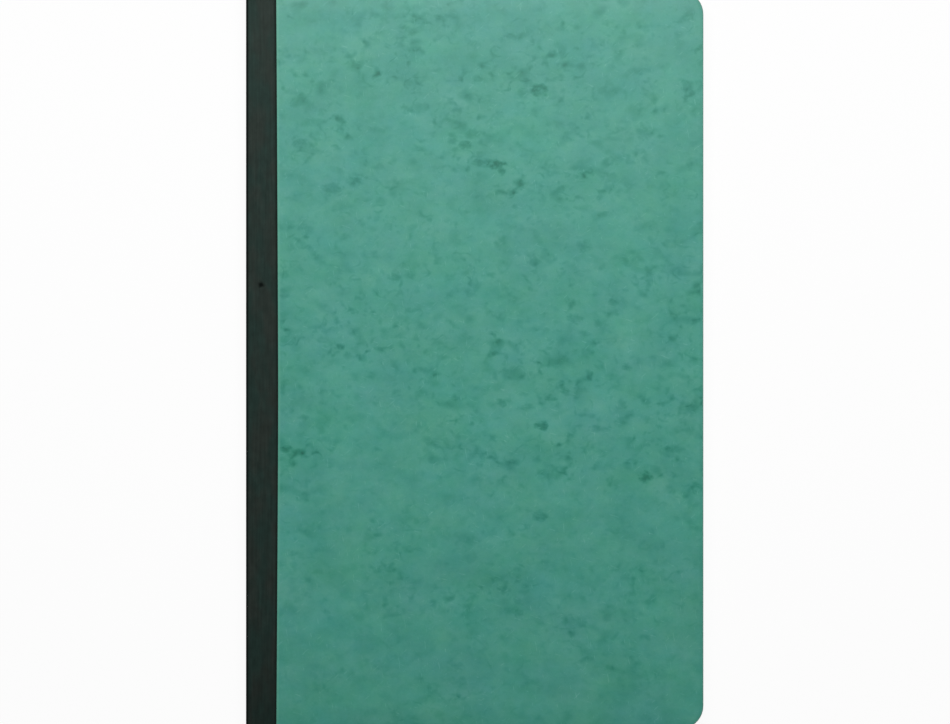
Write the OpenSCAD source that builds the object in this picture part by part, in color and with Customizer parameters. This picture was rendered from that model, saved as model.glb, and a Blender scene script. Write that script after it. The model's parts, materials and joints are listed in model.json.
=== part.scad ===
// Sewn register with flush-cut pressboard covers and a cloth tape round its spine.
// It lies closed on its back cover: +X runs from the spine to the fore-edge, +Y from the tail to the head,
// +Z from the back cover to the front cover. The origin is the middle of the underside.

/* [Book] */
// Width of the closed book, from the face of the spine to the fore-edge
book_w = 199; // [120:1:260]
// Height of the closed book, from the tail to the head
book_h = 321; // [200:1:400]
// Radius of the two corners at the fore-edge
corner_r = 10; // [3:0.5:25]

/* [Covers] */
// Thickness of the pressboard of each cover
card_t = 0.6; // [0.4:0.05:1.2]
// Thickness of the endpapers
endpaper_t = 0.12; // [0.08:0.01:0.2]

/* [Spine tape] */
// Thickness of the cloth tape
tape_t = 0.2; // [0.12:0.01:0.3]
// Reach of the tape onto each cover, from the face of the spine
tape_reach = 13.4; // [6:0.1:40]
// Radius of the crease in the tape along each hinge line of the spine
crease_r = 0.06; // [0.03:0.01:0.09]
// Film of glue between the tape and the folds of the leaves
glue_t = 0.02; // [0.01:0.005:0.06]

/* [Leaves] */
// Thickness of the paper of one leaf
leaf_t = 0.1; // [0.07:0.01:0.16]
// Air between two leaves that lie on each other
leaf_gap = 0.015; // [0.01:0.005:0.04]
// Number of sections sewn side by side
section_count = 6; // [4:1:7]
// Number of folded sheets nested in each section
sheet_count = 4; // [3:1:5]

/* [Sewing] */
// Diameter of the sewing thread
thread_d = 0.2; // [0.12:0.01:0.26]
// Clearance between the thread and the leaves on either side of it
thread_gap = 0.01; // [0.01:0.005:0.03]
// Clearance all round the thread in its needle holes
needle_gap = 0.03; // [0.02:0.005:0.05]
// Number of stitches along each fold
stitch_count = 5; // [3:1:6]
// Distance between two stitches, along the outside of the fold
stitch_pause = 24; // [12:1:26]
// Distance from the head and from the tail to the first needle hole
stitch_margin = 17; // [10:1:30]

/* [Hidden] */
$fn = 64;
// Overshoot of a cut past the face that it opens
over = 1;

// Places across the book
spine_x = -book_w / 2;
block_x = spine_x + tape_t;
fore_x = book_w / 2;
leaf_x = block_x + glue_t;

// A section: each sheet is folded round the next, and the thread lies in the innermost fold
fold_gap = thread_d + 2 * thread_gap;
sheet_pitch = leaf_t + leaf_gap;
section_t = fold_gap + 2 * sheet_count * leaf_t + 2 * (sheet_count - 1) * leaf_gap;
section_pitch = section_t + leaf_gap;
fold_x = leaf_x + section_t / 2;
// Inner radius of a sheet's fold. Sheet 1 is the outermost.
function fold_r(sheet) = fold_gap / 2 + (sheet_count - sheet) * sheet_pitch;

// Places through the thickness. Section 1 is next to the front cover.
pastedown_z = card_t;
flyleaf_z = pastedown_z + endpaper_t + leaf_gap;
sections_z = flyleaf_z + endpaper_t + leaf_gap;
book_t = 2 * sections_z + section_count * section_pitch - leaf_gap;
function section_mid(section) = sections_z + (section_count - section) * section_pitch + section_t / 2;
// Hinge line between a section and the section above it
function hinge_z(section) = section_mid(section) + section_pitch / 2;

// Places along the fold: each stitch runs from one needle hole to the next
stitch_len = (book_h - 2 * stitch_margin - (stitch_count - 1) * stitch_pause) / stitch_count;
function stitch_y(stitch) = -book_h / 2 + stitch_margin + (stitch - 1) * (stitch_len + stitch_pause);
// Radius of the thread's bend inside the fold
bend_r = thread_d;

function sheet_name(section, sheet) = str("section_", section, "_sheet_", sheet);
function thread_name(section) = str("section_", section, "_thread");
function tape_name(section) = str("spine_tape_", section);

// Outline of everything that is cut flush: square at the spine, rounded at the fore-edge
module page_outline(from_x) {
    translate([from_x, -book_h / 2])
        square([fore_x - corner_r - from_x, book_h]);
    translate([from_x, corner_r - book_h / 2])
        square([fore_x - from_x, book_h - 2 * corner_r]);
    for (side = [-1, 1])
        translate([fore_x - corner_r, side * (book_h / 2 - corner_r)])
            circle(r = corner_r);
}

// A flat sheet of the book's outline, from a height upwards
module page(from_x, z, t) {
    translate([0, 0, z])
        linear_extrude(height = t)
            page_outline(from_x);
}

// A profile in X and Z, drawn from the tail to the head
module along_spine() {
    rotate([90, 0, 0])
        linear_extrude(height = book_h, center = true)
            children();
}

// Turns a piece of the back cover over to the front cover
module at_front() {
    translate([0, 0, book_t])
        mirror([0, 0, 1])
            children();
}

// Pressboard with a shallow seat for the tape along its spine edge
module cover_card() {
    color([0.32, 0.61, 0.54])
        difference() {
            page(block_x, 0, card_t);
            translate([spine_x, -book_h / 2 - over, -over])
                cube([tape_reach, book_h + 2 * over, tape_t + over]);
        }
}

// Tape on the face of a cover, turned round the corner of the spine
module cover_tape() {
    color([0.14, 0.16, 0.15])
        along_spine() {
            translate([block_x, 0])
                square([tape_reach - tape_t, tape_t]);
            intersection() {
                translate([block_x, tape_t])
                    circle(r = tape_t);
                translate([spine_x, 0])
                    square(tape_t);
            }
        }
}

// Half of an endpaper that is glued to the inside of a cover
module pastedown() {
    color([0.93, 0.92, 0.87])
        page(block_x, pastedown_z, endpaper_t);
}

// Half of an endpaper that turns as a free leaf
module flyleaf() {
    color([0.93, 0.92, 0.87])
        page(leaf_x, flyleaf_z, endpaper_t);
}

// Outline of what a folded sheet wraps: a round back and a straight opening to the fore-edge
module fold_outline(r, length) {
    circle(r = r);
    translate([0, -r])
        square([length, 2 * r]);
}

// Holes through the folds of one section, at both ends of each stitch
module needle_holes(section) {
    for (stitch = [1:stitch_count], end = [0, 1])
        translate([spine_x, stitch_y(stitch) + end * stitch_len, section_mid(section)])
            rotate([0, 90, 0])
                cylinder(d = thread_d + 2 * needle_gap, h = fold_x - spine_x);
}

// One sheet folded into two leaves
module folded_sheet(section, sheet) {
    color([0.95, 0.94, 0.89])
        difference() {
            intersection() {
                translate([fold_x, 0, section_mid(section)])
                    along_spine()
                        difference() {
                            fold_outline(fold_r(sheet) + leaf_t, book_w);
                            fold_outline(fold_r(sheet), book_w + over);
                        }
                page(spine_x, section_mid(section) - section_t, 2 * section_t);
            }
            needle_holes(section);
        }
}

// One stitch: in through the fold, along its inside and out again
module stitch(length) {
    for (end = [0, 1])
        translate([0, end * length, 0])
            mirror([0, end, 0]) {
                translate([leaf_x - fold_x, 0, 0])
                    rotate([0, 90, 0])
                        cylinder(d = thread_d, h = fold_x - leaf_x);
                translate([0, bend_r, 0])
                    rotate([0, 0, -90])
                        rotate_extrude(angle = 90)
                            translate([bend_r, 0])
                                circle(d = thread_d);
            }
    translate([bend_r, bend_r, 0])
        rotate([-90, 0, 0])
            cylinder(d = thread_d, h = length - 2 * bend_r);
}

// The thread of one section
module section_thread(section) {
    color([0.9, 0.89, 0.84])
        for (i = [1:stitch_count])
            translate([fold_x, stitch_y(i), section_mid(section)])
                stitch(stitch_len);
}

// The tape over the back of one section, creased where the spine bends.
// The first and the last section's tape also covers the edges of the endpapers and of the cover.
module spine_tape(section) {
    from_z = section == section_count ? tape_t : hinge_z(section + 1);
    to_z = section == 1 ? book_t - tape_t : hinge_z(section);
    color([0.14, 0.16, 0.15])
        along_spine()
            difference() {
                translate([spine_x, from_z])
                    square([tape_t, to_z - from_z]);
                if (section < section_count)
                    translate([spine_x, from_z])
                        circle(r = crease_r);
                if (section > 1)
                    translate([spine_x, to_z])
                        circle(r = crease_r);
            }
}

at_front() cover_card();  // front_cover
at_front() cover_tape();  // front_tape
at_front() pastedown();  // front_pastedown
at_front() flyleaf();  // front_flyleaf
for (section = [1:section_count], sheet = [1:sheet_count])
    folded_sheet(section, sheet);
for (section = [1:section_count])
    section_thread(section);
for (section = [1:section_count])
    spine_tape(section);
flyleaf();  // back_flyleaf
pastedown();  // back_pastedown
cover_tape();  // back_tape
cover_card();  // back_cover
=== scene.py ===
"""A sewn register that lies closed: pressboard covers, a cloth tape round the spine and ruled leaves.

Everything is in metres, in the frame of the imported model: +X runs from the spine to the fore-edge,
+Y from the tail to the head, +Z from the back cover to the front cover.
"""

import json
import math
import random

import bmesh
import bpy
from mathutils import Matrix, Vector


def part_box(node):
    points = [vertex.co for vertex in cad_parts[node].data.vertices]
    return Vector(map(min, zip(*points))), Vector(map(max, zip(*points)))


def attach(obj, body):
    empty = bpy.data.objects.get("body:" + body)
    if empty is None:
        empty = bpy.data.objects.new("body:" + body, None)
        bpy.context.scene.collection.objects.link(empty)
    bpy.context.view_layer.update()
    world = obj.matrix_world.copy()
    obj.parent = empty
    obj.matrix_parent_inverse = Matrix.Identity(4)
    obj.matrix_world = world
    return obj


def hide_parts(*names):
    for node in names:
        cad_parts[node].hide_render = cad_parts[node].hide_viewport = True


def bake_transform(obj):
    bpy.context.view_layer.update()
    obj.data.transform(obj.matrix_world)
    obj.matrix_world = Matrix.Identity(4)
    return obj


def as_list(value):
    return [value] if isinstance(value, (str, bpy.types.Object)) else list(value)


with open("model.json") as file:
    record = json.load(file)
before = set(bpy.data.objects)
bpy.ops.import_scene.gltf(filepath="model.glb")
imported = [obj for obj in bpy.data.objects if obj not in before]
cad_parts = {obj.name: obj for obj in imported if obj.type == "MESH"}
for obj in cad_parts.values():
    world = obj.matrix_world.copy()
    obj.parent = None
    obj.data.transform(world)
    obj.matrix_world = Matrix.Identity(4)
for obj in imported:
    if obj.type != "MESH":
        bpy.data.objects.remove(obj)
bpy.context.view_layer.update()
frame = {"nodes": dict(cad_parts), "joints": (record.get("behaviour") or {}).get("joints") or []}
MM = 0.001

# Places and counts that the frame gives. The chain of bodies runs from the back cover to the front cover.
SPINE_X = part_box("front_tape")[0].x
FORE_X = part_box("front_cover")[1].x
HALF_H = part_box("front_cover")[1].y
BOOK_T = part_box("front_cover")[1].z
CARD_T = BOOK_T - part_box("front_cover")[0].z
CHAIN = ["back_cover"] + [joint["child"] for joint in frame["joints"]]
SECTIONS = len(CHAIN) - 2
SHEETS = sum(name.startswith("section_1_sheet_") for name in frame["nodes"])

# Heights of the hinge lines between two sections, from the back of the book to its front
SECTION_HINGES = [joint["pos_m"][2] for joint in frame["joints"]][1:-1]

# Sizes of the covers: the rounds of the board's rim, how far its face lies below the face of the book,
# how far behind the spine it starts, and the width of the step beside the tape
CORNER_R = 10 * MM
CARD_EDGE_R = 0.42 * MM
CARD_INNER_R = 0.1 * MM
CARD_DEPTH = 0.05 * MM
CARD_START = 0.35 * MM
SEAT_SLOPE = 0.05 * MM

# Sizes of the tape, which stands a little proud of the front cover. Its edge is bowed: its reach is greatest
# below the middle of the book.
TAPE_T = 0.2 * MM
TAPE_PROUD = 0.03 * MM
TAPE_CORNER_R = 0.6 * MM
TAPE_REACH_HEAD = 13.15 * MM
TAPE_REACH_MOST = 14.0 * MM
TAPE_REACH_TAIL = 13.2 * MM
TAPE_MOST_Y = -17 * MM
TAPE_BOW = 1.3

# Creases of the tape at the hinge lines, and how far on either side of a line the profile has points close
# together
CREASE_DEPTH = 0.05 * MM
CREASE_WIDTH = 0.14 * MM
FOLD_REACH = 0.45 * MM
FOLD_STOPS = (-1, -0.6, -0.3, -0.15, 0, 0.15, 0.3, 0.6, 1)

# Sizes of the leaves: thickness, thickness of an endpaper in its fold, and how unevenly they are trimmed
LEAF_T = 0.1 * MM
FOLD_T = 0.04 * MM
TRIM_PLAY = 0.1 * MM
TRIM_SHARES = (0.2, 1.0)
ENDPAPER_TRIM = 0.5 * TRIM_PLAY

# How the leaves lie: the reach over which a leaf rises to its place
RISE_REACH = 40 * MM

# Grid of a sheet: rows from the tail to the head, steps along each stretch of its columns
CARD_ROWS = 33
LEAF_ROWS = 7
SEAT_COLUMNS = 2
STRAIGHT_STEPS = 14
STRAIGHT_CROWDING = 1.5
CORNER_STEPS = 9
RIM_STEPS = 3
FOLD_STEPS = 4
WING_STEPS = 9
BEND_STEPS = 8
ENDPAPER_STEP = 1 * MM
SMOOTH_ANGLE = math.radians(35)

# Turns in a profile, from +X by way of +Z, and directions outwards as (x, z)
UPWARDS = 0.5 * math.pi
SPINEWARDS = math.pi
DOWNWARDS = 1.5 * math.pi
OUT_FRONT = (0.0, 1.0)
OUT_BACK = (0.0, -1.0)
OUT_SPINE = (-1.0, 0.0)

SEED = 7
draw = random.Random(SEED)


# Mesh building

def shell(name, columns, rows, layers, point, uv, surfaces):
    """A closed sheet. point(i, j, k) places a vertex of column i, row j and layer k.

    Layer 0 is one face of the sheet, the last layer is its other face, and a rim joins each layer to the
    next. surfaces are the materials of the first face, the last face and the rim. uv(i, j) is the place on
    the sheet of a column and row.
    """
    last = layers - 1
    built = bmesh.new()
    grid_uv = built.loops.layers.uv.new("Sheet")
    border = [(i, 0) for i in range(columns)]
    border += [(columns - 1, j) for j in range(1, rows)]
    border += [(i, rows - 1) for i in range(columns - 2, -1, -1)]
    border += [(0, j) for j in range(rows - 2, 0, -1)]
    inside = [(i, j) for i in range(1, columns - 1) for j in range(1, rows - 1)]
    vertex = {}
    for k in range(layers):
        for i, j in border + (inside if k in (0, last) else []):
            vertex[i, j, k] = built.verts.new(point(i, j, k))
    materials = list(dict.fromkeys(surfaces))

    def face(corners, surface):
        made = built.faces.new([vertex[corner] for corner in corners])
        made.material_index = materials.index(surface)
        made.smooth = True
        for loop, (i, j, _) in zip(made.loops, corners):
            loop[grid_uv].uv = uv(i, j)

    for i in range(columns - 1):
        for j in range(rows - 1):
            quad = [(i, j), (i + 1, j), (i + 1, j + 1), (i, j + 1)]
            face([(*corner, last) for corner in quad], surfaces[1])
            face([(*corner, 0) for corner in reversed(quad)], surfaces[0])
    for k in range(last):
        for here, there in zip(border, border[1:] + border[:1]):
            face([(*here, k), (*there, k), (*there, k + 1), (*here, k + 1)], surfaces[2])
    if built.calc_volume(signed=True) < 0:
        bmesh.ops.reverse_faces(built, faces=built.faces)
    mesh = bpy.data.meshes.new(name)
    built.to_mesh(mesh)
    built.free()
    for material in materials:
        mesh.materials.append(material)
    mesh.set_sharp_from_angle(angle=SMOOTH_ANGLE)
    made = bpy.data.objects.new(name, mesh)
    bpy.context.scene.collection.objects.link(made)
    return made


def spread(count):
    """Evenly spread values from -1 to 1."""
    return [2 * j / (count - 1) - 1 for j in range(count)]


def ease(share):
    """Smooth step from 0 to 1."""
    return share * share * (3 - 2 * share)


def arc(centre_x, centre_z, radius, from_turn, to_turn, steps):
    """Points of a profile on an arc, as (x, z, direction outwards)."""
    points = []
    for step in range(steps + 1):
        turn = from_turn + (to_turn - from_turn) * step / steps
        out = (math.cos(turn), math.sin(turn))
        points.append((centre_x + radius * out[0], centre_z + radius * out[1], out))
    return points


def with_distance(points):
    """Adds to each point of a profile its distance along the profile."""
    along = [0.0]
    for here, there in zip(points, points[1:]):
        along.append(along[-1] + math.hypot(there[0] - here[0], there[1] - here[1]))
    return [(*point, distance) for point, distance in zip(points, along)]


def page_columns(from_x, inset=0.0):
    """Columns of a page from a place near the spine to the fore-edge, as (x, half of its height there)."""
    centre_x = FORE_X - CORNER_R
    radius = CORNER_R - inset
    columns = []
    for step in range(STRAIGHT_STEPS):
        share = (step / STRAIGHT_STEPS) ** STRAIGHT_CROWDING
        columns.append((from_x + share * (centre_x - from_x), HALF_H - inset))
    for step in range(CORNER_STEPS + 1):
        turn = math.pi / 2 * step / CORNER_STEPS
        half = HALF_H - CORNER_R + radius * math.cos(turn)
        columns.append((centre_x + radius * math.sin(turn), half))
    return columns


def tape_reach(y):
    """Reach of the tape onto a cover at a height of the book."""
    if y > TAPE_MOST_Y:
        share = (y - TAPE_MOST_Y) / (HALF_H - TAPE_MOST_Y)
        return TAPE_REACH_MOST - (TAPE_REACH_MOST - TAPE_REACH_HEAD) * share ** TAPE_BOW
    share = (TAPE_MOST_Y - y) / (HALF_H + TAPE_MOST_Y)
    return TAPE_REACH_MOST - (TAPE_REACH_MOST - TAPE_REACH_TAIL) * share ** TAPE_BOW


# Materials

# Noise lies about its mean. These levels hold nearly all of it, most of it and the middle of it.
NOISE_MEAN = 0.5
NOISE_ALL = (0.2, 0.8)
NOISE_MOST = (0.3, 0.7)
NOISE_MIDDLE = (0.36, 0.64)

# Sockets of a Mix node that mixes colours
MIX_FIRST = 6
MIX_SECOND = 7
MIX_RESULT = 2


class Look:
    """A material with short calls for its nodes. Values are sockets or numbers."""

    def __init__(self, name, roughness, specular):
        self.material = bpy.data.materials.new(name)
        self.material.use_nodes = True
        self.tree = self.material.node_tree
        self.shader = self.tree.nodes["Principled BSDF"]
        self.shader.inputs["Roughness"].default_value = roughness
        self.shader.inputs["Specular IOR Level"].default_value = specular

    def put(self, value, socket):
        """Links a socket to a value, or sets it to a number or a colour."""
        if isinstance(value, bpy.types.NodeSocket):
            self.tree.links.new(value, socket)
        else:
            socket.default_value = value

    def node(self, kind, *values, **settings):
        """A new node with its settings, and with values for its first inputs."""
        made = self.tree.nodes.new(kind)
        for setting, value in settings.items():
            setattr(made, setting, value)
        for socket, value in zip(made.inputs, values):
            if value is not None:
                self.put(value, socket)
        return made

    def place(self, shift=(0, 0, 0), scale=(1, 1, 1), turn=0.0):
        """Place on a rigid piece, scaled, then turned, then shifted."""
        origin = self.node("ShaderNodeTexCoord").outputs["Object"]
        return self.node("ShaderNodeMapping", origin, shift, (0, 0, turn), scale).outputs[0]

    def sheet_place(self):
        """Place on a sheet, in metres across and along it, which stays with the sheet when it bends."""
        return self.node("ShaderNodeUVMap", uv_map="Sheet").outputs[0]

    def scaled(self, vector, scale):
        """A place scaled along its axes. A scale below 1 draws a pattern out."""
        return self.node("ShaderNodeMapping", vector, None, None, scale).outputs[0]

    def noise(self, vector, size, detail=2.0, rough=0.5, warp=0.0):
        """Noise whose features are about one size across."""
        made = self.node("ShaderNodeTexNoise", vector)
        made.inputs["Scale"].default_value = 1 / size
        made.inputs["Detail"].default_value = detail
        made.inputs["Roughness"].default_value = rough
        made.inputs["Distortion"].default_value = warp
        return made.outputs[0]

    def math(self, operation, first, second=0.0, third=0.0):
        """Arithmetic on up to three values."""
        return self.node("ShaderNodeMath", first, second, third, operation=operation).outputs[0]

    def squares(self, first, second):
        """Sum of the squares of two values."""
        return self.math("ADD", self.math("MULTIPLY", first, first), self.math("MULTIPLY", second, second))

    def step(self, value, low, high, to_low=0.0, to_high=1.0):
        """Smooth step from one value to another between two levels."""
        return self.node("ShaderNodeMapRange", value, low, high, to_low, to_high,
                         interpolation_type="SMOOTHSTEP").outputs[0]

    def span(self, value, low, high, to_low=0.0, to_high=1.0):
        """Straight step from one value to another between two levels."""
        return self.node("ShaderNodeMapRange", value, low, high, to_low, to_high).outputs[0]

    def mix(self, factor, first, second, kind="MIX"):
        """Mix of two colours."""
        made = self.node("ShaderNodeMix", data_type="RGBA", blend_type=kind)
        self.put(factor, made.inputs[0])
        for colour, socket in ((first, made.inputs[MIX_FIRST]), (second, made.inputs[MIX_SECOND])):
            if not isinstance(colour, bpy.types.NodeSocket):
                colour = (*colour, 1)
            self.put(colour, socket)
        return made.outputs[MIX_RESULT]

    def split(self, vector):
        """The three values of a place."""
        return self.node("ShaderNodeSeparateXYZ", vector).outputs

    def bump(self, height, depth, strength=1.0):
        """Fine relief of a depth."""
        made = self.node("ShaderNodeBump")
        made.inputs["Strength"].default_value = strength
        made.inputs["Distance"].default_value = depth
        self.put(height, made.inputs["Height"])
        self.put(made.outputs[0], self.shader.inputs["Normal"])

    def finish(self, colour, roughness=None):
        """Gives the shader its colour, and its roughness where that varies."""
        self.put(colour, self.shader.inputs["Base Color"])
        if roughness is not None:
            self.put(roughness, self.shader.inputs["Roughness"])
        return self.material


# Pressboard

# Colours of the board, of the painted highlight beside the tape and of its cut edge, and how its dye works:
# where it lies thicker, red fades faster than green
BOARD_TEAL = (0.0546, 0.2820, 0.2340)
BOARD_GREEN = (0.0566, 0.2975, 0.2085)
BOARD_HIGHLIGHT = (0.122, 0.375, 0.266)
BOARD_CORE = (0.125, 0.300, 0.240)
RED_FADE = 2.65
BLUE_FADE = 1.18
RED_PLAY = 0.117

# Places in the noise for the two covers, the shift to noise that is unlike the first, and how flat it lies
FRONT_SHIFT = (2.95, 2.62, 0.87)
BACK_SHIFT = (0.93, 0.67, 0.41)
UNLIKE_SHIFT = 0.5
FLATTENING = 1.22

# Clouds of the two greens, and the mottle, grain and fibres of the board
CLOUD_SIZE = 26 * MM
CLOUD_LEVELS = (0.32, 0.68)
MOTTLE_SIZE = 17 * MM
MOTTLE_TONE = (0.885, 1.215)
GRAIN_SIZE = 0.9 * MM
GRAIN_TONE = (-0.025, 0.025)
FIBRE_SIZE = 0.3 * MM
FIBRE_TONE = (-0.04, 0.04)
FIBRE_DRAWN = (0.5, 1, 1)
FIBRE_TURN = 0.2

# Single pale strands, in three directions
STRAND_SIZE = 0.65 * MM
STRAND_DRAWN = (0.14, 1, 1)
STRAND_TURNS = (0.3, 1.4, 2.4)
STRAND_LEVELS = (0.725, 0.78)
STRAND_TONE = 0.17

# The largest flecks of the front cover: place across and up the cover, width and height, all in millimetres,
# and strength
FRONT_FLECKS = [
    (27.9, 117.3, 7.4, 6.0, 0.85),
    (21.0, 116.3, 5.0, 6.0, 0.45),
    (-29.0, 109.2, 6.0, 4.0, 0.5),
    (-7.9, 108.9, 5.4, 3.2, 0.5),
    (73.3, 99.4, 7.0, 6.4, 0.45),
    (-1.0, 98.2, 6.0, 4.4, 0.45),
    (-9.6, 95.0, 4.0, 3.6, 0.4),
    (-75.7, 94.0, 7.0, 4.0, 0.5),
    (-3.9, 93.3, 6.4, 3.4, 0.7),
    (2.6, 85.9, 7.6, 3.8, 0.6),
    (9.3, 85.1, 8.6, 4.2, 1.0),
    (11.6, 82.3, 3.4, 3.4, 0.7),
    (-52.1, 77.9, 6.4, 4.6, 0.55),
    (-61.8, 74.1, 9.0, 6.0, 0.5),
    (47.7, 49.8, 6.0, 5.0, 0.45),
    (75.8, 38.3, 4.6, 4.4, 0.5),
    (-34.7, 35.8, 5.6, 4.0, 0.55),
    (44.0, 18.0, 7.0, 4.6, 0.5),
    (-59.0, 5.7, 4.6, 3.2, 0.7),
    (66.3, -3.0, 4.6, 3.2, 0.6),
    (32.8, -16.5, 5.0, 3.4, 0.6),
    (11.6, -18.7, 5.0, 3.4, 0.6),
    (22.7, -20.4, 5.4, 3.2, 0.45),
    (29.1, -28.6, 5.4, 3.9, 1.1),
    (-82.0, -38.7, 5.6, 3.2, 0.8),
    (74.3, -50.8, 5.4, 4.8, 0.85),
    (28.5, -67.8, 6.2, 5.2, 0.55),
]

# How such a fleck fades out: the size and the share of its raggedness, the squares of the distances from its
# middle between which it fades, and how dark it is
RAGGED_SIZE = 2.6 * MM
RAGGED_SHARE = 3.8
OVAL_FADE = (-0.7, 1.9)
OVAL_DARK = 1.35

# The rest of the flecks of both covers, in three sizes: size in millimetres, how far they are flattened,
# the noise level at which a fleck begins, the level at which it is full, and strength
FLECK_SIZES = [
    (8.0, 1.25, 0.56, 0.86, 0.52),
    (4.4, 1.1, 0.57, 0.86, 0.46),
    (2.6, 1.0, 0.59, 0.88, 0.26),
]

# Where they crowd: in groups, which thin out towards the tail, and the smaller ones in clusters too
GROUP_SIZE = 30 * MM
GROUP_CROWD = (0.5, 1.5)
TAIL_CROWD = (0.72, 1.08)
CLUSTER_SIZE = 11 * MM
CLUSTER_CROWD = (0.3, 1.7)
CLUSTER_LARGEST = 5.0

# Veins of dye between the flecks, and the breaks in them
VEIN_SIZE = 9 * MM
VEIN_REACH = 0.06
VEIN_DARK = 0.31
VEIN_BREAK_SIZE = 5 * MM
VEIN_BREAK_LEVELS = (0.48, 0.7)

# How much all of these darken the board
FLECK_DEPTH = 0.44

# Painted shade as a darker rim at the outline, and a painted highlight as a pale line beside the tape
RIM_SHADE_FADE = (1.2 * MM, 1.7 * MM)
RIM_SHADE_TONE = 0.93
HIGHLIGHT_FADE = (0.5 * MM, 1.3 * MM)
HIGHLIGHT_SHARE = 0.42

# Relief and gloss of the board
BOARD_RELIEF = 0.012 * MM
MOTTLE_RELIEF = 2.0
BOARD_ROUGHNESS = (0.38, 0.46)

# Cut edge of the board: its layers and loose fibres
LAYER_SIZE = 0.1 * MM
LAYER_DRAWN = (0.2, 0.2, 1)
LAYER_TONE = (0.7, 1.0)
LOOSE_FIBRE_SIZE = 0.4 * MM
LOOSE_FIBRE_TONE = (-0.1, 0.3)
LOOSE_FIBRE_RELIEF = 0.03 * MM


def dyed(look, base, tone, warmth=1.0):
    """A base colour under more or less dye, with more or less red."""
    red = look.math("MULTIPLY", look.math("POWER", tone, RED_FADE), warmth)
    blue = look.math("POWER", tone, BLUE_FADE)
    tint = look.node("ShaderNodeCombineColor", red, tone, blue).outputs[0]
    return look.mix(1.0, base, tint, kind="MULTIPLY")


def rim_distance(look, across, up):
    """Distance inwards from the outline of a cover, up to the radius of its corners."""
    to_fore = look.math("MAXIMUM", look.math("SUBTRACT", across, FORE_X - CORNER_R), 0.0)
    past_end = look.math("SUBTRACT", look.math("ABSOLUTE", up), HALF_H - CORNER_R)
    to_end = look.math("MAXIMUM", past_end, 0.0)
    return look.math("SUBTRACT", CORNER_R, look.math("SQRT", look.squares(to_fore, to_end)))


def scattered_flecks(look, shift, groups, clusters):
    """Darkness of the flecks of every size that noise scatters over a cover."""
    dark = 0.0
    for size, flat, begins, full, strength in FLECK_SIZES:
        flattened = look.place(shift, scale=(1, flat, 1))
        spots = look.noise(flattened, size * MM, detail=1, rough=0.4, warp=0.2)
        crowd = groups
        if size <= CLUSTER_LARGEST:
            crowd = look.math("MULTIPLY", groups, clusters)
        dark = look.math("MULTIPLY_ADD", look.span(spots, begins, full, 0.0, strength), crowd, dark)
    return dark


def broken_veins(look, place, wide):
    """Darkness of the veins between the flecks: lines where noise crosses its mean, with breaks in them."""
    from_mean = look.math("SUBTRACT", look.noise(wide, VEIN_SIZE, detail=1.5), NOISE_MEAN)
    veins = look.step(look.math("ABSOLUTE", from_mean), 0.0, VEIN_REACH, VEIN_DARK, 0.0)
    return look.math("MULTIPLY", veins, look.span(look.noise(place, VEIN_BREAK_SIZE), *VEIN_BREAK_LEVELS))


def placed_flecks(look, flecks, wide, across, up, dark):
    """Darkness with ragged ovals added at the places of the largest flecks."""
    ragged = look.math("SUBTRACT", look.noise(wide, RAGGED_SIZE, rough=0.6), NOISE_MEAN)
    for x, y, width, height, strength in flecks:
        side = look.math("MULTIPLY_ADD", across, 2 / (width * MM), -2 * x / width)
        rise = look.math("MULTIPLY_ADD", up, 2 / (height * MM), -2 * y / height)
        far = look.math("MULTIPLY_ADD", ragged, RAGGED_SHARE, look.squares(side, rise))
        dark = look.math("MAXIMUM", dark, look.step(far, *OVAL_FADE, OVAL_DARK * strength, 0.0))
    return dark


def with_strands(look, shift, tone):
    """A tone with single pale strands added in each of their directions."""
    for turn in STRAND_TURNS:
        drawn = look.scaled(look.place(shift, turn=turn), STRAND_DRAWN)
        strands = look.noise(drawn, STRAND_SIZE, detail=1)
        tone = look.math("ADD", tone, look.step(strands, *STRAND_LEVELS, 0.0, STRAND_TONE))
    return tone


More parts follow.
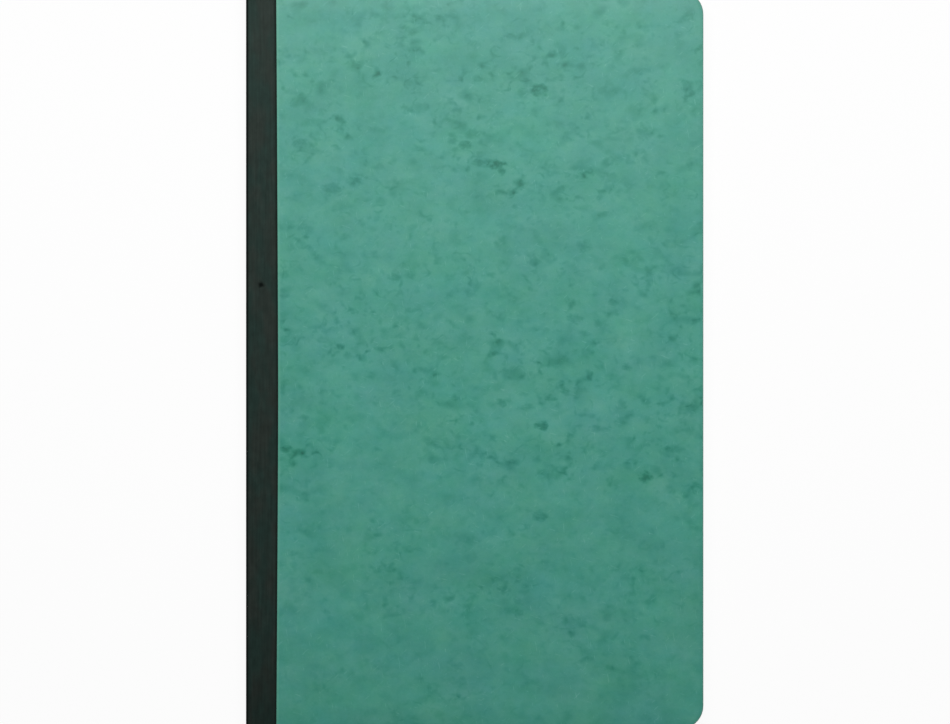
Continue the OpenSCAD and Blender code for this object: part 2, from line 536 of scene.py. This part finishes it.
def pressboard(name, shift, flecks=()):
    """Dyed fibre board with a satin face: clouds of two greens, flecks of thicker dye and pale fibres, with
    painted shade along its outline and a painted highlight beside the tape.
    """
    look = Look(name, roughness=0.42, specular=0.25)
    place = look.place(shift)
    wide = look.place(shift, scale=(1, FLATTENING, 1))
    unlike = look.place([part + UNLIKE_SHIFT for part in shift], scale=(1, FLATTENING, 1))
    across, up, _ = look.split(look.place())

    clouds = look.noise(wide, CLOUD_SIZE, detail=5, rough=0.72)
    base = look.mix(look.span(clouds, *CLOUD_LEVELS), BOARD_TEAL, BOARD_GREEN)
    warmth = look.noise(unlike, CLOUD_SIZE, detail=5, rough=0.72)
    warmth = look.span(warmth, *CLOUD_LEVELS, 1 - RED_PLAY, 1 + RED_PLAY)

    groups = look.span(look.noise(wide, GROUP_SIZE), *NOISE_MIDDLE, *GROUP_CROWD)
    groups = look.math("MULTIPLY", groups, look.step(up, -HALF_H, 0.0, *TAIL_CROWD))
    clusters = look.span(look.noise(unlike, CLUSTER_SIZE, detail=1), *NOISE_MIDDLE, *CLUSTER_CROWD)
    dark = scattered_flecks(look, shift, groups, clusters)
    dark = look.math("MULTIPLY_ADD", broken_veins(look, place, wide), groups, dark)
    dark = placed_flecks(look, flecks, wide, across, up, dark)

    mottle = look.noise(wide, MOTTLE_SIZE, detail=5, rough=0.66)
    grain = look.noise(place, GRAIN_SIZE, rough=0.6)
    drawn = look.place(shift, scale=FIBRE_DRAWN, turn=FIBRE_TURN)
    fibres = look.noise(drawn, FIBRE_SIZE, detail=3, rough=0.6)
    tone = look.span(mottle, *NOISE_ALL, *MOTTLE_TONE)
    tone = look.math("ADD", tone, look.span(grain, *NOISE_ALL, *GRAIN_TONE))
    tone = look.math("ADD", tone, look.span(fibres, *NOISE_ALL, *FIBRE_TONE))
    tone = with_strands(look, shift, tone)
    tone = look.math("MULTIPLY_ADD", dark, -FLECK_DEPTH, tone)
    # Painted shade: the board darkens along its outline
    rim = look.step(rim_distance(look, across, up), *RIM_SHADE_FADE, RIM_SHADE_TONE, 1.0)
    tone = look.math("MULTIPLY", tone, rim)

    # Painted highlight: a pale line on the board beside the edge of the tape
    beside_tape = look.split(look.sheet_place())[0]
    painted_highlight = look.step(beside_tape, *HIGHLIGHT_FADE, HIGHLIGHT_SHARE, 0.0)
    colour = look.mix(painted_highlight, dyed(look, base, tone, warmth), BOARD_HIGHLIGHT)
    relief = look.math("ADD", look.math("MULTIPLY_ADD", mottle, MOTTLE_RELIEF, grain), fibres)
    look.bump(relief, BOARD_RELIEF)
    return look.finish(colour, look.span(mottle, *NOISE_ALL, *BOARD_ROUGHNESS))


def board_edge():
    """Cut edge of the pressboard: pale fibres in layers."""
    look = Look("board_edge", roughness=0.8, specular=0.2)
    layers = look.noise(look.place(scale=LAYER_DRAWN), LAYER_SIZE)
    fibres = look.noise(look.place(), LOOSE_FIBRE_SIZE, detail=3, rough=0.65)
    tone = look.span(layers, *NOISE_MOST, *LAYER_TONE)
    tone = look.math("ADD", tone, look.span(fibres, *NOISE_MOST, *LOOSE_FIBRE_TONE))
    look.bump(fibres, LOOSE_FIBRE_RELIEF)
    return look.finish(dyed(look, BOARD_CORE, tone))


# Book cloth

# Colours of the cloth and of its gloss, and how rough it is where it is dull and where it isn't
CLOTH_GREEN = (0.0096, 0.0206, 0.0173)
CLOTH_BROWN = (0.0145, 0.0191, 0.0162)
CLOTH_GLOSS = (0.72, 1.0, 0.88)
DULL_LEVELS = (0.1, 1.0)
CLOTH_ROUGHNESS = (0.95, 0.40)

# The weave: distance between two threads, how much it varies the tone, and its relief
THREAD_PITCH = 0.34 * MM
WEAVE_TONE = (-0.12, 0.12)
WEAVE_RELIEF = 0.03 * MM
WEAVE_STRENGTH = 0.5

# Blotches of the two colours, streaks along the tape and patches, all drawn out along it
BLOTCH_SIZE = 9 * MM
BLOTCH_DRAWN = (1, 0.4, 1)
STREAK_SIZE = 0.9 * MM
STREAK_DRAWN = (1, 0.05, 1)
STREAK_TONE = (0.70, 1.30)
PATCH_SIZE = 3.2 * MM
PATCH_DRAWN = (1, 0.6, 1)
PATCH_TONE = (0.70, 1.30)

# Painted shade: height above the tail up to which the tape darkens, and its tone at the tail
TAIL_SHADE_TO = 48 * MM
TAIL_SHADE_TONE = 0.64

# How far in from its cut edges and from its folds the tape is dull and darkened with painted shade, and its
# tone there
EDGE_SHADE_FADE = (0.5 * MM, 1.4 * MM)
EDGE_SHADE_TONE = 0.55
FOLD_SHADE_FADE = (0.6 * MM, 1.2 * MM)
FOLD_SHADE_TONE = 0.2

# A slub in the tape on the front cover: distance from the tape's edge, height above the tail, size and edge
SLUB_ACROSS = 7.4 * MM
SLUB_UP = 193.4 * MM
SLUB_SIZE = 3.0 * MM
SLUB_FADE = (0.1 * SLUB_SIZE, 0.7 * SLUB_SIZE)
SLUB_TONE = 0.15
SLUB_RAGGED = 0.2 * SLUB_SIZE
SLUB_RAGGED_SIZE = 1.5 * MM

# Film of dry glue on the inner face of the tape
GLUE_DARK = (0.10, 0.10, 0.085)
GLUE_PALE = (0.30, 0.29, 0.25)
GLUE_SIZE = 1.5 * MM
GLUE_RELIEF = 0.05 * MM


def weave(look, across, along):
    """Height of a plain weave: each thread goes over one and under the next."""
    warp_turn = look.math("MULTIPLY", across, math.pi / THREAD_PITCH)
    weft_turn = look.math("MULTIPLY", along, math.pi / THREAD_PITCH)
    warp = look.math("SINE", warp_turn)
    weft = look.math("SINE", weft_turn)
    over = look.math("GREATER_THAN", look.math("MULTIPLY", warp, weft), 0.0)
    warp_height = look.math("ABSOLUTE", warp)
    weft_height = look.math("ABSOLUTE", weft)
    swap = look.math("SUBTRACT", warp_height, weft_height)
    return look.math("MULTIPLY_ADD", swap, over, weft_height)


def slub_tone(look, place, across, along):
    """Tone of the slub, which has a ragged edge, and 1 around it."""
    side = look.math("SUBTRACT", across, SLUB_ACROSS)
    rise = look.math("SUBTRACT", along, SLUB_UP)
    ragged = look.span(look.noise(place, SLUB_RAGGED_SIZE), *NOISE_ALL, -SLUB_RAGGED, SLUB_RAGGED)
    far = look.math("ADD", look.math("SQRT", look.squares(side, rise)), ragged)
    return look.step(far, *SLUB_FADE, SLUB_TONE, 1.0)


def book_cloth(cut_w, folds):
    """Starched black cloth of a cut width: a fine weave and faint streaks along it.

    It is dull at its cut edges, along its folds and at a slub. Its darkening at the cut edges and along the
    folds is painted shade; the slub is a dark mark in the cloth.
    """
    look = Look("book_cloth", roughness=0.4, specular=0.09)
    look.shader.inputs["Specular Tint"].default_value = (*CLOTH_GLOSS, 1)
    place = look.sheet_place()
    across, along, _ = look.split(place)
    blotches = look.noise(look.scaled(place, BLOTCH_DRAWN), BLOTCH_SIZE, detail=3)
    colour = look.mix(look.step(blotches, *NOISE_MIDDLE), CLOTH_GREEN, CLOTH_BROWN)

    streaks = look.noise(look.scaled(place, STREAK_DRAWN), STREAK_SIZE)
    patches = look.noise(look.scaled(place, PATCH_DRAWN), PATCH_SIZE)
    threads = weave(look, across, along)
    tone = look.span(streaks, *NOISE_ALL, *STREAK_TONE)
    tone = look.math("ADD", tone, look.span(threads, 0.0, 1.0, *WEAVE_TONE))
    tone = look.math("MULTIPLY", tone, look.span(patches, *NOISE_ALL, *PATCH_TONE))
    # Painted shade: the tape darkens towards the tail
    tone = look.math("MULTIPLY", tone, look.span(along, 0.0, TAIL_SHADE_TO, TAIL_SHADE_TONE, 1.0))

    # Painted shade: the cloth darkens near its cut edges, and is dull there
    from_edge = look.math("MINIMUM", across, look.math("SUBTRACT", cut_w, across))
    dull_shade_and_slub = look.step(from_edge, *EDGE_SHADE_FADE, EDGE_SHADE_TONE, 1.0)
    # Painted shade: the cloth darkens along its folds at the corners of the spine, and is dull there
    for fold in folds:
        from_fold = look.math("ABSOLUTE", look.math("SUBTRACT", across, fold))
        dull_shade_and_slub = look.math("MULTIPLY", dull_shade_and_slub, look.step(from_fold, *FOLD_SHADE_FADE, FOLD_SHADE_TONE, 1.0))
    dull_shade_and_slub = look.math("MULTIPLY", dull_shade_and_slub, slub_tone(look, place, across, along))
    colour = look.mix(1.0, colour, look.math("MULTIPLY", tone, dull_shade_and_slub), kind="MULTIPLY")
    look.bump(threads, WEAVE_RELIEF, strength=WEAVE_STRENGTH)
    return look.finish(colour, look.span(dull_shade_and_slub, *DULL_LEVELS, *CLOTH_ROUGHNESS))


def tape_back():
    """Inner face of the tape: cloth under a film of dry glue."""
    look = Look("tape_back", roughness=0.5, specular=0.4)
    film = look.noise(look.sheet_place(), GLUE_SIZE, detail=4, rough=0.65)
    look.bump(film, GLUE_RELIEF)
    return look.finish(look.mix(look.step(film, *NOISE_MOST), GLUE_DARK, GLUE_PALE))


# Paper and thread

# Colours of the paper: its face, the shade in it, and the darkest cut edge of a leaf
PAPER = (0.88, 0.86, 0.785)
PAPER_SHADE = (0.83, 0.805, 0.72)
PAPER_EDGE = (0.66, 0.63, 0.54)

# Fibres and clouds of the paper, and their shares in its tone
PAPER_FIBRE_SIZE = 0.7 * MM
PAPER_FIBRE_DRAWN = (1, 0.3, 1)
PAPER_FIBRE_SHARE = 0.6
PAPER_CLOUD_SIZE = 18 * MM
PAPER_CLOUD_SHARE = 0.4
PAPER_RELIEF = 0.01 * MM

# Dust on the cut edges of the leaves
DUST_SIZE = 2.5 * MM
DUST_TONE = (-0.2, 0.2)

# Rules: colours, strength of the ink, width, and places above the tail or, for the columns, across the leaf
# from its fold
RULE_BLUE = (0.36, 0.47, 0.60)
RULE_RED = (0.62, 0.26, 0.24)
BLUE_INK = 0.75
RED_INK = 0.8
RULE_W = 0.28 * MM
RULE_PITCH = 8 * MM
RULES_FROM = 14 * MM
RULES_TO = 286 * MM
COLUMN_RULES = [22 * MM, 48 * MM, 118 * MM, 146 * MM, 172 * MM]
HEAD_RULES = [288 * MM, 290 * MM]

# Colours and twist of the thread
COTTON_DARK = (0.55, 0.53, 0.46)
COTTON_PALE = (0.80, 0.78, 0.72)
TWIST_PITCH = 0.25 * MM
TWIST_TURN = 0.8
TWIST_WARP = 1.0
TWIST_RELIEF = 0.02 * MM


def paper_tone(look, place):
    """Faint fibres and clouds of plain paper."""
    fibres = look.noise(look.scaled(place, PAPER_FIBRE_DRAWN), PAPER_FIBRE_SIZE, detail=3, rough=0.6)
    clouds = look.noise(place, PAPER_CLOUD_SIZE)
    tone = look.math("ADD", look.step(fibres, *NOISE_MOST, 0.0, PAPER_FIBRE_SHARE),
                     look.step(clouds, *NOISE_MOST, 0.0, PAPER_CLOUD_SHARE))
    look.bump(fibres, PAPER_RELIEF)
    return look.mix(tone, PAPER_SHADE, PAPER)


def ruled_paper():
    """Ledger paper: blue feint rules, blue column rules and a double red rule at the head."""
    look = Look("ruled_paper", roughness=0.75, specular=0.25)
    place = look.sheet_place()
    across, along, _ = look.split(place)
    colour = paper_tone(look, place)
    on_rule = look.math("PINGPONG", look.math("SUBTRACT", along, RULES_FROM), RULE_PITCH / 2)
    feint = look.math("LESS_THAN", on_rule, RULE_W / 2)
    low_enough = look.math("LESS_THAN", along, RULES_TO)
    high_enough = look.math("GREATER_THAN", along, RULES_FROM - RULE_PITCH / 2)
    blue = look.math("MULTIPLY", look.math("MULTIPLY", feint, low_enough), high_enough)
    for x in COLUMN_RULES:
        blue = look.math("MAXIMUM", blue, look.math("COMPARE", across, x, RULE_W / 2))
    red = 0.0
    for y in HEAD_RULES:
        red = look.math("MAXIMUM", red, look.math("COMPARE", along, y, RULE_W / 2))
    colour = look.mix(look.math("MULTIPLY", blue, BLUE_INK), colour, RULE_BLUE)
    colour = look.mix(look.math("MULTIPLY", red, RED_INK), colour, RULE_RED)
    return look.finish(colour)


def endpaper():
    """Plain heavy paper."""
    look = Look("endpaper", roughness=0.75, specular=0.25)
    return look.finish(paper_tone(look, look.sheet_place()))


def paper_edge():
    """Cut edge of a leaf. Each leaf has its own tone, so that the block shows its leaves."""
    look = Look("paper_edge", roughness=0.85, specular=0.2)
    tone = look.node("ShaderNodeAttribute", attribute_name="tone").outputs["Fac"]
    dust = look.noise(look.sheet_place(), DUST_SIZE, detail=3)
    tone = look.math("ADD", tone, look.step(dust, *NOISE_MOST, *DUST_TONE))
    return look.finish(look.mix(tone, PAPER_EDGE, PAPER))


def sewing_thread():
    """Twisted cotton."""
    look = Look("sewing_thread", roughness=0.8, specular=0.2)
    wave = look.node("ShaderNodeTexWave", look.place(turn=TWIST_TURN), 1 / TWIST_PITCH, TWIST_WARP,
                     bands_direction="X")
    twist = wave.outputs["Fac"]
    look.bump(twist, TWIST_RELIEF)
    return look.finish(look.mix(twist, COTTON_DARK, COTTON_PALE))


front_board = pressboard("front_pressboard", FRONT_SHIFT, FRONT_FLECKS)
back_board = pressboard("back_pressboard", BACK_SHIFT)
cut_board = board_edge()
glue = tape_back()
page = ruled_paper()
plain = endpaper()
cut_paper = paper_edge()
cotton = sewing_thread()


# Covers

def through(front, depth):
    """Height of a place that lies at a depth below the outer face of a cover."""
    return BOOK_T - depth if front else depth


def card_rim():
    """Rounded rim of a board, its inner edge and then its outer edge, as (inset, depth in the cover).

    Over each quarter turn, one share rises from 0 to 1 and the other falls from 1 to 0.
    """
    inner = []
    outer = []
    for step in range(RIM_STEPS + 1):
        turn = math.pi / 2 * step / RIM_STEPS
        rising = 1 - math.cos(turn)
        falling = 1 - math.sin(turn)
        inner.append((CARD_INNER_R * falling, CARD_T - CARD_INNER_R * rising))
        outer.append((CARD_EDGE_R * rising, CARD_DEPTH + CARD_EDGE_R * falling))
    return inner + outer


def cover_card(name, front, face):
    """Pressboard with a softly rounded edge, and a seat that the tape is pressed into."""
    tape_proud = TAPE_PROUD if front else 0.0
    seat_depth = TAPE_T - tape_proud - CARD_DEPTH
    rim = card_rim()
    grids = [page_columns(SPINE_X + TAPE_REACH_MOST, inset) for inset, _ in rim]
    rows = spread(CARD_ROWS)

    def point(i, j, k):
        inset, depth = rim[k]
        if i >= SEAT_COLUMNS:
            x, half = grids[k][i - SEAT_COLUMNS]
            y = rows[j] * half
            if i == SEAT_COLUMNS:
                x = SPINE_X + tape_reach(y) + SEAT_SLOPE
            return Vector((x, y, through(front, depth)))
        y = rows[j] * (HALF_H - inset)
        x = SPINE_X + (CARD_START if i == 0 else tape_reach(y))
        seat = seat_depth if k > RIM_STEPS else 0.0
        return Vector((x, y, through(front, depth + seat)))

    def uv(i, j):
        """Distance from the edge of the tape, and height above the tail."""
        place = point(i, j, len(rim) - 1)
        return place.x - SPINE_X - tape_reach(place.y), place.y + HALF_H

    columns = SEAT_COLUMNS + len(grids[0])
    made = shell(name, columns, CARD_ROWS, len(rim), point, uv, (face, face, cut_board))
    body = "front_cover" if front else "back_cover"
    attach(made, body)
    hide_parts(body)
    return made


front_card = cover_card("front_card", True, front_board)
back_card = cover_card("back_card", False, back_board)


# Tape round the spine

def strip_middles():
    """Heights at which the tape is parted, in the middle of each section's back."""
    ends = [TAPE_T] + SECTION_HINGES + [BOOK_T - TAPE_T]
    return [(low + high) / 2 for low, high in zip(ends, ends[1:])]


def spine_points(from_z, to_z):
    """Points of the tape on the spine, dipped at each hinge line between two sections."""
    stops = set(strip_middles())
    for hinge in SECTION_HINGES:
        stops.update(hinge + share * FOLD_REACH for share in FOLD_STOPS)
    points = []
    for z in sorted(stop for stop in stops if from_z < stop < to_z):
        dip = sum(math.exp(-((z - hinge) / CREASE_WIDTH) ** 2) for hinge in SECTION_HINGES)
        points.append((SPINE_X + CREASE_DEPTH * dip, z, OUT_SPINE))
    return points


def wing_points(z, out):
    """Points of the tape on a cover, from its edge to the corner of the spine, for the greatest reach."""
    from_x = SPINE_X + TAPE_REACH_MOST
    to_x = SPINE_X + TAPE_CORNER_R
    return [(from_x + (to_x - from_x) * step / WING_STEPS, z, out) for step in range(WING_STEPS)]


def tape_profile():
    """Outer face of the whole tape, from its edge on the front cover round the spine to the back cover.

    Its points are (x, z, direction outwards, distance from the front edge).
    """
    top = BOOK_T + TAPE_PROUD
    radius = TAPE_CORNER_R
    points = wing_points(top, OUT_FRONT)
    points += arc(SPINE_X + radius, top - radius, radius, UPWARDS, SPINEWARDS, BEND_STEPS)
    points += reversed(spine_points(radius, top - radius))
    points += arc(SPINE_X + radius, radius, radius, SPINEWARDS, DOWNWARDS, BEND_STEPS)
    points += reversed(wing_points(0.0, OUT_BACK))
    return with_distance(points)


def point_nearest(profile, z):
    """Number of the point of a profile that is nearest to a height."""
    return min(range(len(profile)), key=lambda i: abs(profile[i][1] - z))


def tape_piece(name, profile, nodes):
    """A stretch of the tape along its profile. Its wing follows the bowed edge."""
    rows = spread(CARD_ROWS)
    wing_from = SPINE_X + TAPE_CORNER_R

    def point(i, j, k):
        x, z, out, _ = profile[i]
        y = rows[j] * HALF_H
        if x > wing_from:
            bow = (tape_reach(y) - TAPE_CORNER_R) / (TAPE_REACH_MOST - TAPE_CORNER_R)
            x = wing_from + (x - wing_from) * bow
        deep = TAPE_T if k == 0 else 0.0
        return Vector((x - out[0] * deep, y, z - out[1] * deep))

    def uv(i, j):
        return profile[i][3], (rows[j] + 1) * HALF_H

    made = shell(name, len(profile), CARD_ROWS, layers=2, point=point, uv=uv, surfaces=(glue, cloth, cloth))
    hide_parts(*nodes)
    return made


def make_tape(profile):
    """The tape is parted in the middle of each section's back, so that each piece spans one hinge line."""
    cuts = [point_nearest(profile, z) for z in reversed(strip_middles())]
    front = tape_piece("tape_front_wing", profile[:cuts[0] + 1], ["front_tape", "spine_tape_1"])
    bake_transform(front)
    strips = []
    for section in range(1, SECTIONS):
        stretch = profile[cuts[section - 1]:cuts[section] + 1]
        nodes = [f"spine_tape_{section}", f"spine_tape_{section + 1}"]
        strip = tape_piece(f"tape_spine_{section}", stretch, nodes)
        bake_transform(strip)
        strips.append(strip)
    back = tape_piece("tape_back_wing", profile[cuts[-1]:], [f"spine_tape_{SECTIONS}", "back_tape"])
    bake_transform(back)
    return front, strips, back


# The cloth is dull and darkened with painted shade along the middle of its bend at each corner of the spine
whole_tape = tape_profile()
cut_width = whole_tape[-1][3]
corner_fold = TAPE_REACH_MOST - TAPE_CORNER_R + math.pi / 4 * TAPE_CORNER_R
cloth = book_cloth(cut_width, (corner_fold, cut_width - corner_fold))
front_tape, spine_strips, back_tape = make_tape(whole_tape)
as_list(spine_strips)


# Leaves

def set_tone(piece):
    """Gives the cut edge of a leaf a tone of its own."""
    tone = piece.data.attributes.new("tone", "FLOAT", "FACE")
    tone.data.foreach_set("value", [draw.random()] * len(piece.data.polygons))


def paper_piece(name, columns, thick, surfaces):
    """A piece of paper, whose columns are (x, z, direction outwards, half of its height there)."""
    columns = with_distance(columns)
    rows = spread(LEAF_ROWS)

    def point(i, j, k):
        x, z, out, half, _ = columns[i]
        deep = -thick / 2 if k == 0 else thick / 2
        return Vector((x + out[0] * deep, rows[j] * half, z + out[1] * deep))

    def uv(i, j):
        half, along = columns[i][3:]
        return along, rows[j] * half + HALF_H

    made = shell(name, len(columns), LEAF_ROWS, layers=2, point=point, uv=uv, surfaces=surfaces)
    set_tone(made)
    return made


def leaf(name, profile, thick, trim, surfaces, rise=0.0):
    """A leaf that starts with a profile of (x, z, direction outwards) and ends at the fore-edge.

    It is cut to the outline of the book less a little trim. Past its profile it rises, to lie evenly among
    the leaves of its section.
    """
    from_x, z, out = profile[-1]
    columns = [(*point, HALF_H - trim) for point in profile]
    for x, half in page_columns(from_x, inset=trim)[1:]:
        share = min((x - SPINE_X) / RISE_REACH, 1.0)
        columns.append((x - trim, z + rise * ease(share), out, half))
    return paper_piece(name, columns, thick, surfaces)


def section_leaf(section, sheet, upper, step):
    """One half of a folded sheet, from the middle of its fold. The steps count the leaves from below."""
    node = f"section_{section}_sheet_{sheet}"
    low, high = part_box(node)
    radius = (high.z - low.z) / 2 - LEAF_T / 2
    fold_x = low.x + (high.z - low.z) / 2
    middle = (low.z + high.z) / 2
    profile = arc(fold_x, middle, radius, SPINEWARDS, UPWARDS if upper else DOWNWARDS, FOLD_STEPS)
    bottom, top = [corner.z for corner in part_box(f"section_{section}_sheet_1")]
    even_z = bottom + LEAF_T / 2 + step * (top - bottom - LEAF_T) / (2 * SHEETS - 1)
    trim = draw.uniform(*TRIM_SHARES) * TRIM_PLAY
    name = f"{node}_{'upper' if upper else 'lower'}"
    made = leaf(name, profile, LEAF_T, trim, (page, page, cut_paper), rise=even_z - profile[-1][1])
    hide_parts(node)
    return made


def droop(piece, under, body):
    """Fixes the leaf where it lies; under and body are not used."""
    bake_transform(piece)


def make_leaves():
    """The leaves of every section. Those of section 1, which is next to the front cover, ride on their
    section; the others are fixed where they lie.
    """
    order = [(sheet, False) for sheet in range(1, SHEETS + 1)]
    order += [(sheet, True) for sheet in range(SHEETS, 0, -1)]
    for section in range(1, SECTIONS + 1):
        body = f"section_{section}"
        for step, (sheet, upper) in enumerate(order):
            made = section_leaf(section, sheet, upper, step)
            if section == 1:
                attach(made, body)
            elif section > SECTIONS / 2:
                droop(made, CHAIN[SECTIONS - section], body)
            else:
                droop(made, f"section_{section - 1}", body)


make_leaves()


# Endpapers

def endpaper_leaf(node):
    """One half of an endpaper, flat from its node's edge at the spine to the fore-edge."""
    low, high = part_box(node)
    middle = (low.z + high.z) / 2
    profile = [(x, middle, OUT_FRONT) for x in (low.x, low.x + ENDPAPER_STEP)]
    made = leaf(f"{node}_leaf", profile, high.z - low.z, ENDPAPER_TRIM, (plain, plain, cut_paper))
    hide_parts(node)
    return made


def endpaper_fold(side, section):
    """The fold between the two halves of an endpaper, fixed where it lies; section is not used."""
    nodes = [f"{side}_flyleaf", f"{side}_pastedown"]
    fly, pasted = [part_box(node) for node in nodes]
    fly_z, pasted_z = [(low.z + high.z) / 2 for low, high in (fly, pasted)]
    radius = abs(pasted_z - fly_z) / 2
    turns = (DOWNWARDS, UPWARDS) if pasted_z > fly_z else (UPWARDS, DOWNWARDS)
    path = arc(fly[0].x + radius, (fly_z + pasted_z) / 2, radius, *turns, BEND_STEPS)
    columns = [(*point, HALF_H - ENDPAPER_TRIM) for point in path]
    made = paper_piece(f"{side}_endpaper_fold", columns, FOLD_T, (plain, plain, cut_paper))
    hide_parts(*nodes)
    if side == "front":
        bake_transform(made)
    else:
        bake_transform(made)


def make_endpapers():
    """Both endpapers. The half that is pasted down rides on its cover."""
    for side, section in (("front", "section_1"), ("back", f"section_{SECTIONS}")):
        cover = f"{side}_cover"
        flyleaf = endpaper_leaf(f"{side}_flyleaf")
        pastedown = endpaper_leaf(f"{side}_pastedown")
        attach(pastedown, cover)
        if side == "front":
            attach(flyleaf, section)
        else:
            droop(flyleaf, cover, section)
        endpaper_fold(side, section)


make_endpapers()


# Sewing thread: the solids are as they should be, and take the look of cotton
for section in range(1, SECTIONS + 1):
    thread = frame["nodes"][f"section_{section}_thread"]
    thread.data.materials.clear()
    thread.data.materials.append(cotton)


# Stage, light and camera

WHITE = (1, 1, 1, 1)

# The photograph's width in pixels, the size of a pixel at the front cover, and the place of its middle
PHOTO_W = 950
PIXEL = 0.4350 * MM
CAMERA_X = 0.14 * MM
CAMERA_Y = -0.87 * MM

# Camera, in millimetres as Blender counts them
LENS = 150
SENSOR = 36

# Floor: side, distance below the book, colour, and how far its own glow replaces it where it is seen
FLOOR_SIZE = 8.0
FLOOR_GAP = 0.1 * MM
FLOOR_WHITE = 0.9
FLOOR_GLOW = 0.93

# Light: strength of the world's fill, and power, place, aim and size of the lamp
FILL = 0.125
KEY_POWER = 6.0
KEY_PLACE = (0.0, 0.36, 0.70)
KEY_AIM = (0.0, 0.005, 0.0)
KEY_SIZE = (0.8, 0.3)


def backdrop_ray(tree):
    """1 for rays from the camera, a mirror or glass, 0 for light."""
    path = tree.nodes.new("ShaderNodeLightPath")
    seen = path.outputs["Is Camera Ray"]
    for name in ("Is Glossy Ray", "Is Transmission Ray"):
        either = tree.nodes.new("ShaderNodeMath")
        either.operation = "MAXIMUM"
        tree.links.new(seen, either.inputs[0])
        tree.links.new(path.outputs[name], either.inputs[1])
        seen = either.outputs[0]
    return seen


def blend_shaders(tree, factor, first, second, output):
    """Shows a blend of the shaders of two nodes."""
    blend = tree.nodes.new("ShaderNodeMixShader")
    tree.links.new(factor, blend.inputs[0])
    tree.links.new(first.outputs[0], blend.inputs[1])
    tree.links.new(second.outputs[0], blend.inputs[2])
    tree.links.new(blend.outputs[0], tree.nodes[output].inputs["Surface"])


def make_floor():
    """A pale floor that shows nearly white and keeps the shadow of the book."""
    bpy.ops.mesh.primitive_plane_add(size=FLOOR_SIZE, location=(0, 0, -FLOOR_GAP))
    floor = bpy.context.object
    floor.name = "floor"
    material = bpy.data.materials.new("floor")
    material.use_nodes = True
    tree = material.node_tree
    shader = tree.nodes["Principled BSDF"]
    shader.inputs["Base Color"].default_value = (FLOOR_WHITE, FLOOR_WHITE, FLOOR_WHITE, 1)
    shader.inputs["Roughness"].default_value = 1.0
    shader.inputs["Specular IOR Level"].default_value = 0.0
    glow = tree.nodes.new("ShaderNodeEmission")
    share = tree.nodes.new("ShaderNodeMath")
    share.operation = "MULTIPLY"
    share.inputs[1].default_value = FLOOR_GLOW
    tree.links.new(backdrop_ray(tree), share.inputs[0])
    blend_shaders(tree, share.outputs[0], shader, glow, "Material Output")
    floor.data.materials.append(material)


def make_world():
    """White where it is seen, a soft fill where it lights."""
    world = bpy.data.worlds.new("studio")
    bpy.context.scene.world = world
    world.use_nodes = True
    tree = world.node_tree
    light = tree.nodes["Background"]
    light.inputs["Color"].default_value = WHITE
    light.inputs["Strength"].default_value = FILL
    seen = tree.nodes.new("ShaderNodeBackground")
    seen.inputs["Color"].default_value = WHITE
    blend_shaders(tree, backdrop_ray(tree), light, seen, "World Output")


def make_lamp():
    """A soft lamp beyond the head of the book, so that the cover is lighter there."""
    data = bpy.data.lights.new("key", "AREA")
    data.shape = "RECTANGLE"
    data.size, data.size_y = KEY_SIZE
    data.energy = KEY_POWER
    lamp = bpy.data.objects.new("key", data)
    bpy.context.scene.collection.objects.link(lamp)
    lamp.location = KEY_PLACE
    lamp.rotation_euler = (Vector(KEY_AIM) - Vector(KEY_PLACE)).to_track_quat("-Z", "Y").to_euler()
    lamp.visible_camera = False


def make_camera():
    """Straight above the cover, as the photograph was taken."""
    data = bpy.data.cameras.new("camera")
    data.lens = LENS
    data.sensor_width = SENSOR
    camera = bpy.data.objects.new("camera", data)
    bpy.context.scene.collection.objects.link(camera)
    camera.location = (CAMERA_X, CAMERA_Y, BOOK_T + PIXEL * PHOTO_W * LENS / SENSOR)
    bpy.context.scene.camera = camera


make_floor()
make_world()
make_lamp()
make_camera()
bpy.context.scene.view_settings.view_transform = "Standard"
